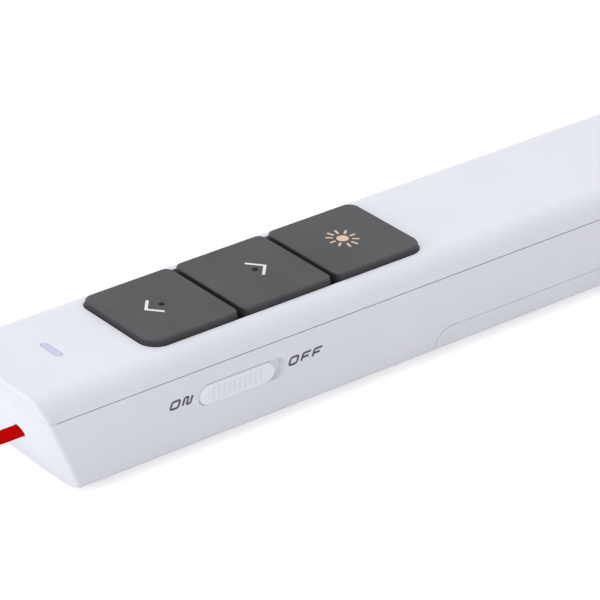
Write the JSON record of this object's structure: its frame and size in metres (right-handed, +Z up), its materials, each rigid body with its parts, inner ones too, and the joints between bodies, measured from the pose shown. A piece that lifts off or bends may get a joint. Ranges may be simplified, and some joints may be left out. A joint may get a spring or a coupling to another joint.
{
  "type": "laser pointer",
  "caption": "Slim white hand-held wireless presenter with raised grey keys, a slanted nose with a laser aperture, a side power switch and a sliding cover over its cell and receiver",
  "frame": {"origin": "the middle of the body's length and width, on the flat surface that it rests on", "axes": "+X runs along the body from the laser end to the tail, +Y to the side away from the power switch, +Z up through the keys"},
  "size_m": [0.1452, 0.027, 0.0201],
  "materials": {
    "white_abs": "smooth satin-gloss white plastic",
    "key_grey": "matte dark grey, soft to the touch",
    "steel": "plated steel",
    "brass": "machined brass",
    "board_green": "solder-masked glass fibre board",
    "black_plastic": "moulded black plastic and insulation",
    "grey_plastic": "moulded grey plastic",
    "capacitor_tan": "ceramic",
    "lens_glass": "clear moulded lens",
    "lamp_lilac": "translucent lilac plastic",
    "lamp_body": "moulded lamp body",
    "red_wire": "red insulation",
    "cell_label": "plain dark blue wrap with no print"
  },
  "bodies": {
    "casing": {"top_shell": "white_abs", "bottom_shell": "white_abs", "key_back_switch": "steel", "key_forward_switch": "steel", "key_laser_switch": "steel", "crystal": "steel", "power_switch": "steel", "lens_ring": "steel", "laser_diode": "steel", "front_screw_1": "steel", "front_screw_2": "steel", "bay_screw_1": "steel", "bay_screw_2": "steel", "board_screw_1": "steel", "board_screw_2": "steel", "cell_cap": "steel", "front_contact": "steel", "tail_contact": "steel", "battery_spring": "steel", "receiver_plug": "steel", "laser_barrel": "brass", "main_board": "board_green", "laser_board": "board_green", "lamp_board": "board_green", "radio_chip": "black_plastic", "boost_coil": "black_plastic", "laser_wire_black": "black_plastic", "lamp_wire_black": "black_plastic", "battery_wire_black": "black_plastic", "receiver_tongue": "black_plastic", "receiver_housing": "grey_plastic", "input_capacitor": "capacitor_tan", "output_capacitor": "capacitor_tan", "laser_lens": "lens_glass", "lamp_window": "lamp_lilac", "indicator_lamp": "lamp_body", "laser_wire_red": "red_wire", "lamp_wire_red": "red_wire", "battery_wire_red": "red_wire", "cell_can": "cell_label"},
    "cover": {"battery_cover": "white_abs"},
    "power": {"power_knob": "white_abs", "power_slider": "grey_plastic"},
    "back_press": {"key_back": "key_grey", "key_back_switch_button": "grey_plastic"},
    "forward_press": {"key_forward": "key_grey", "key_forward_switch_button": "grey_plastic"},
    "laser_press": {"key_laser": "key_grey", "key_laser_switch_button": "grey_plastic"}
  },
  "joints": [
    {"name": "back_key_press", "type": "slide", "parent": "casing", "child": "back_press", "axis": [0, 0, -1], "range_m": [0, 0.0004], "stiffness_N_per_m": 1200, "springref_m": -0.0004},
    {"name": "forward_key_press", "type": "slide", "parent": "casing", "child": "forward_press", "axis": [0, 0, -1], "range_m": [0, 0.0004], "stiffness_N_per_m": 1200, "springref_m": -0.0004},
    {"name": "laser_key_press", "type": "slide", "parent": "casing", "child": "laser_press", "axis": [0, 0, -1], "range_m": [0, 0.0004], "stiffness_N_per_m": 1200, "springref_m": -0.0004},
    {"name": "power_slide", "type": "slide", "parent": "casing", "child": "power", "axis": [1, 0, 0], "range_m": [0, 0.0015]},
    {"name": "cover_slide", "type": "slide", "parent": "casing", "child": "cover", "axis": [1, 0, 0], "range_m": [0, 0.064]}
  ]
}
